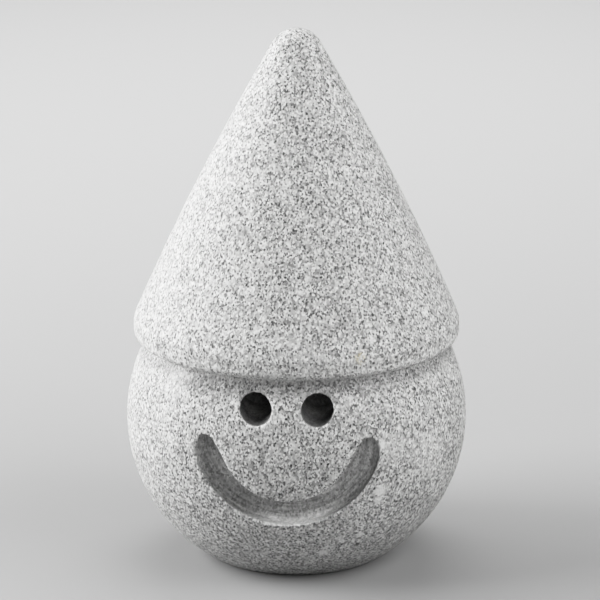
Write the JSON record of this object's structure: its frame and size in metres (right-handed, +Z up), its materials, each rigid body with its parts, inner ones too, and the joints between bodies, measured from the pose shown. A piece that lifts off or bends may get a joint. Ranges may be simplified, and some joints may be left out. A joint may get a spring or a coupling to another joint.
{
  "type": "soapstone elf figure",
  "caption": "Small turned soapstone figure of an elf: a smiling round head under a tall cone hat, an ornament that stands on its flat underside.",
  "frame": {"origin": "middle of the flat underside", "axes": "+Z up along the turned axis towards the hat's tip; the face looks along -Y; +X is to the right of someone who looks at the face"},
  "size_m": [0.07, 0.07, 0.1101],
  "materials": {
    "soapstone": "grey soapstone, finely flecked, honed matt"
  },
  "bodies": {
    "root": {"elf_figure": "soapstone"}
  },
  "joints": []
}
